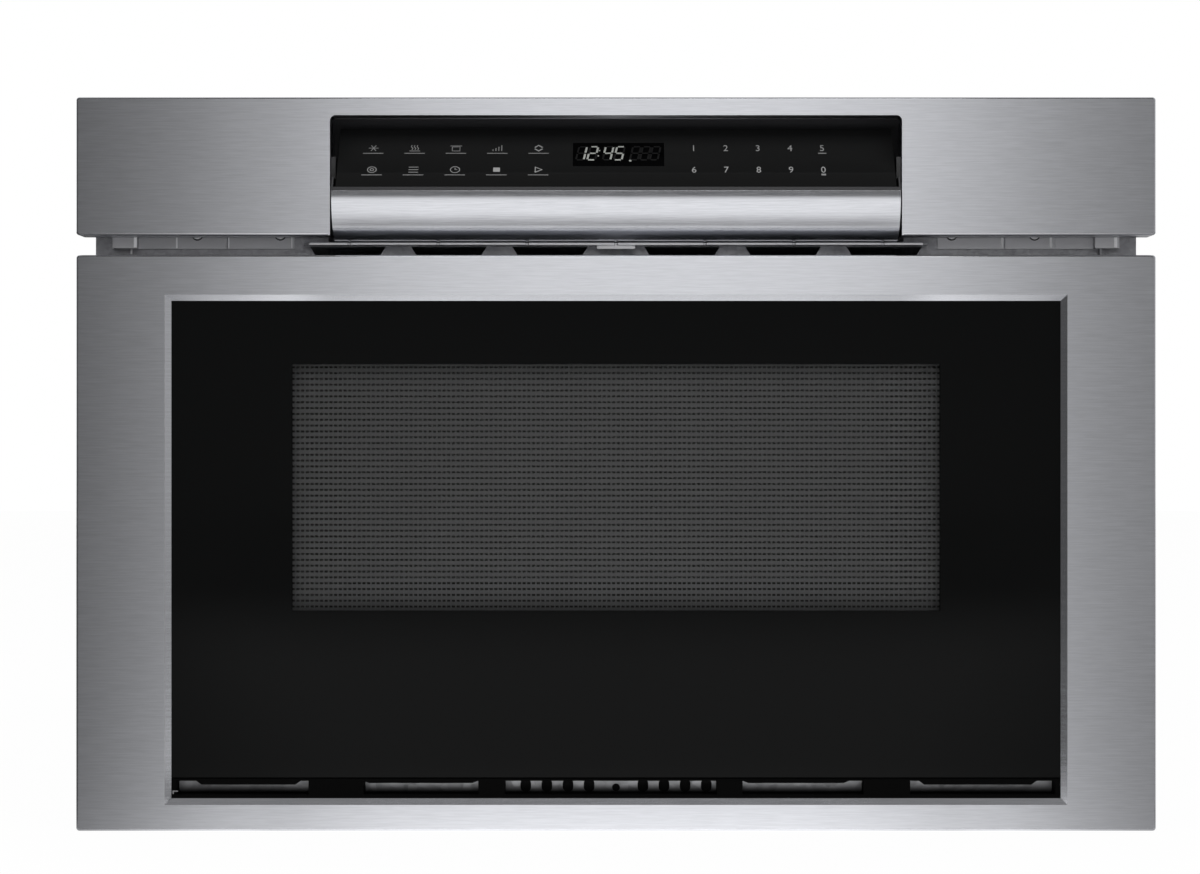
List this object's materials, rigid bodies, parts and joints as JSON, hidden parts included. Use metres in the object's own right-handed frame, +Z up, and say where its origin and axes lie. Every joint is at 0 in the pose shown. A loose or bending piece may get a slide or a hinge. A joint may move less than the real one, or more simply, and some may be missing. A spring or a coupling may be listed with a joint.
{
  "type": "microwave drawer",
  "caption": "Built-in microwave drawer: a motor-driven drawer with a glass door slides out of a sheet-steel chassis under an angled touch-control head.",
  "frame": {"origin": "centre of the underside of the chassis base, which stands on the cabinet shelf", "axes": "+X to the viewer's right across the front, -Y out of the front towards the user, +Z up"},
  "size_m": [0.7588, 0.6385, 0.5157],
  "materials": {
    "front_steel": "brushed along the width",
    "door_glass": "black printed toughened glass, polished",
    "control_glass": "black printed touch glass, polished",
    "clear_glass": "clear toughened glass",
    "mesh_steel": "perforated steel, dark paint",
    "choke_steel": "dark enamelled pressing",
    "black_plastic": "moulded, fine grain",
    "plated_steel": "zinc-plated sheet steel, dull",
    "cavity_paint": "baked acrylic paint, satin",
    "ceramic_glass": "smooth glass-ceramic",
    "mica": "pressed mica sheet",
    "slide_steel": "bright zinc-plated cold-rolled steel",
    "gear_plastic": "moulded acetal",
    "motor_steel": "plated steel can",
    "blade_aluminium": "bright sheet",
    "board_green": "glass-fibre circuit board",
    "display_plastic": "smoked lens",
    "screw_steel": "zinc-plated pan heads"
  },
  "bodies": {
    "chassis": {"base_plate": "plated_steel", "case_screws": "screw_steel", "control_board": "board_green", "control_glass": "control_glass", "control_lip": "front_steel", "cord_bushing": "black_plastic", "display_module": "display_plastic", "drive_motor": "motor_steel", "exhaust_duct": "plated_steel", "fan_motor": "motor_steel", "fan_shroud": "black_plastic", "fascia": "front_steel", "fascia_bracket_left": "plated_steel", "fascia_bracket_right": "plated_steel", "fascia_screws": "screw_steel", "front_flange": "plated_steel", "head_pocket": "black_plastic", "hv_capacitor": "blade_aluminium", "hv_transformer": "motor_steel", "interlock_brackets": "plated_steel", "interlock_switches": "black_plastic", "magnetron": "motor_steel", "motor_bracket": "plated_steel", "noise_filter": "board_green", "outer_case": "plated_steel", "oven_cavity": "cavity_paint", "oven_lamp": "motor_steel", "rail_bracket_left": "plated_steel", "rail_bracket_right": "plated_steel", "rear_cover": "plated_steel", "slide_rail_left": "slide_steel", "slide_rail_right": "slide_steel", "stirrer_cover": "mica", "stirrer_motor": "motor_steel", "vent_lip": "plated_steel", "waveguide": "plated_steel"},
    "drawer": {"door_frame": "front_steel", "door_glass": "door_glass", "door_screen": "mesh_steel", "choke_panel": "choke_steel", "choke_cover": "black_plastic", "door_back_plate": "plated_steel", "door_air_channel": "black_plastic", "drawer_bin": "cavity_paint", "inner_glass": "clear_glass", "ceramic_shelf": "ceramic_glass", "carriage_arm_left": "plated_steel", "carriage_arm_right": "plated_steel", "carriage_crossmember": "plated_steel", "drive_rack": "slide_steel", "drawer_rail_left": "slide_steel", "drawer_rail_right": "slide_steel", "latch_hooks": "plated_steel", "door_screws": "screw_steel"},
    "mid_left": {"mid_rail_left": "slide_steel"},
    "mid_right": {"mid_rail_right": "slide_steel"},
    "pinion": {"drive_pinion": "gear_plastic"},
    "fan": {"fan_blade": "gear_plastic", "fan_shaft": "slide_steel"},
    "stirrer": {"stirrer_fan": "blade_aluminium"}
  },
  "joints": [
    {"name": "drawer_slide", "type": "slide", "parent": "chassis", "child": "drawer", "axis": [0, -1, 0], "range_m": [0, 0.385]},
    {"name": "mid_slide_left", "type": "slide", "parent": "chassis", "child": "mid_left", "axis": [0, -1, 0], "range_m": [0, 0.1925]},
    {"name": "mid_slide_right", "type": "slide", "parent": "chassis", "child": "mid_right", "axis": [0, -1, 0], "range_m": [0, 0.1925]},
    {"name": "pinion_spin", "type": "hinge", "parent": "chassis", "child": "pinion", "pos_m": [0.2, -0.255, 0.045], "axis": [1, 0, 0], "range_deg": [0, 1400]},
    {"name": "fan_spin", "type": "hinge", "parent": "chassis", "child": "fan", "pos_m": [0.15, 0.27, 0.25], "axis": [0, 1, 0], "continuous": true},
    {"name": "stirrer_spin", "type": "hinge", "parent": "chassis", "child": "stirrer", "pos_m": [0, -0.04, 0.36], "axis": [0, 0, 1], "continuous": true}
  ],
  "couplings": [
    {"joint": "mid_slide_left", "follows": "drawer_slide", "ratio": 0.5},
    {"joint": "mid_slide_right", "follows": "drawer_slide", "ratio": 0.5},
    {"joint": "pinion_spin", "follows": "drawer_slide", "rad_per_m": 62.5}
  ]
}
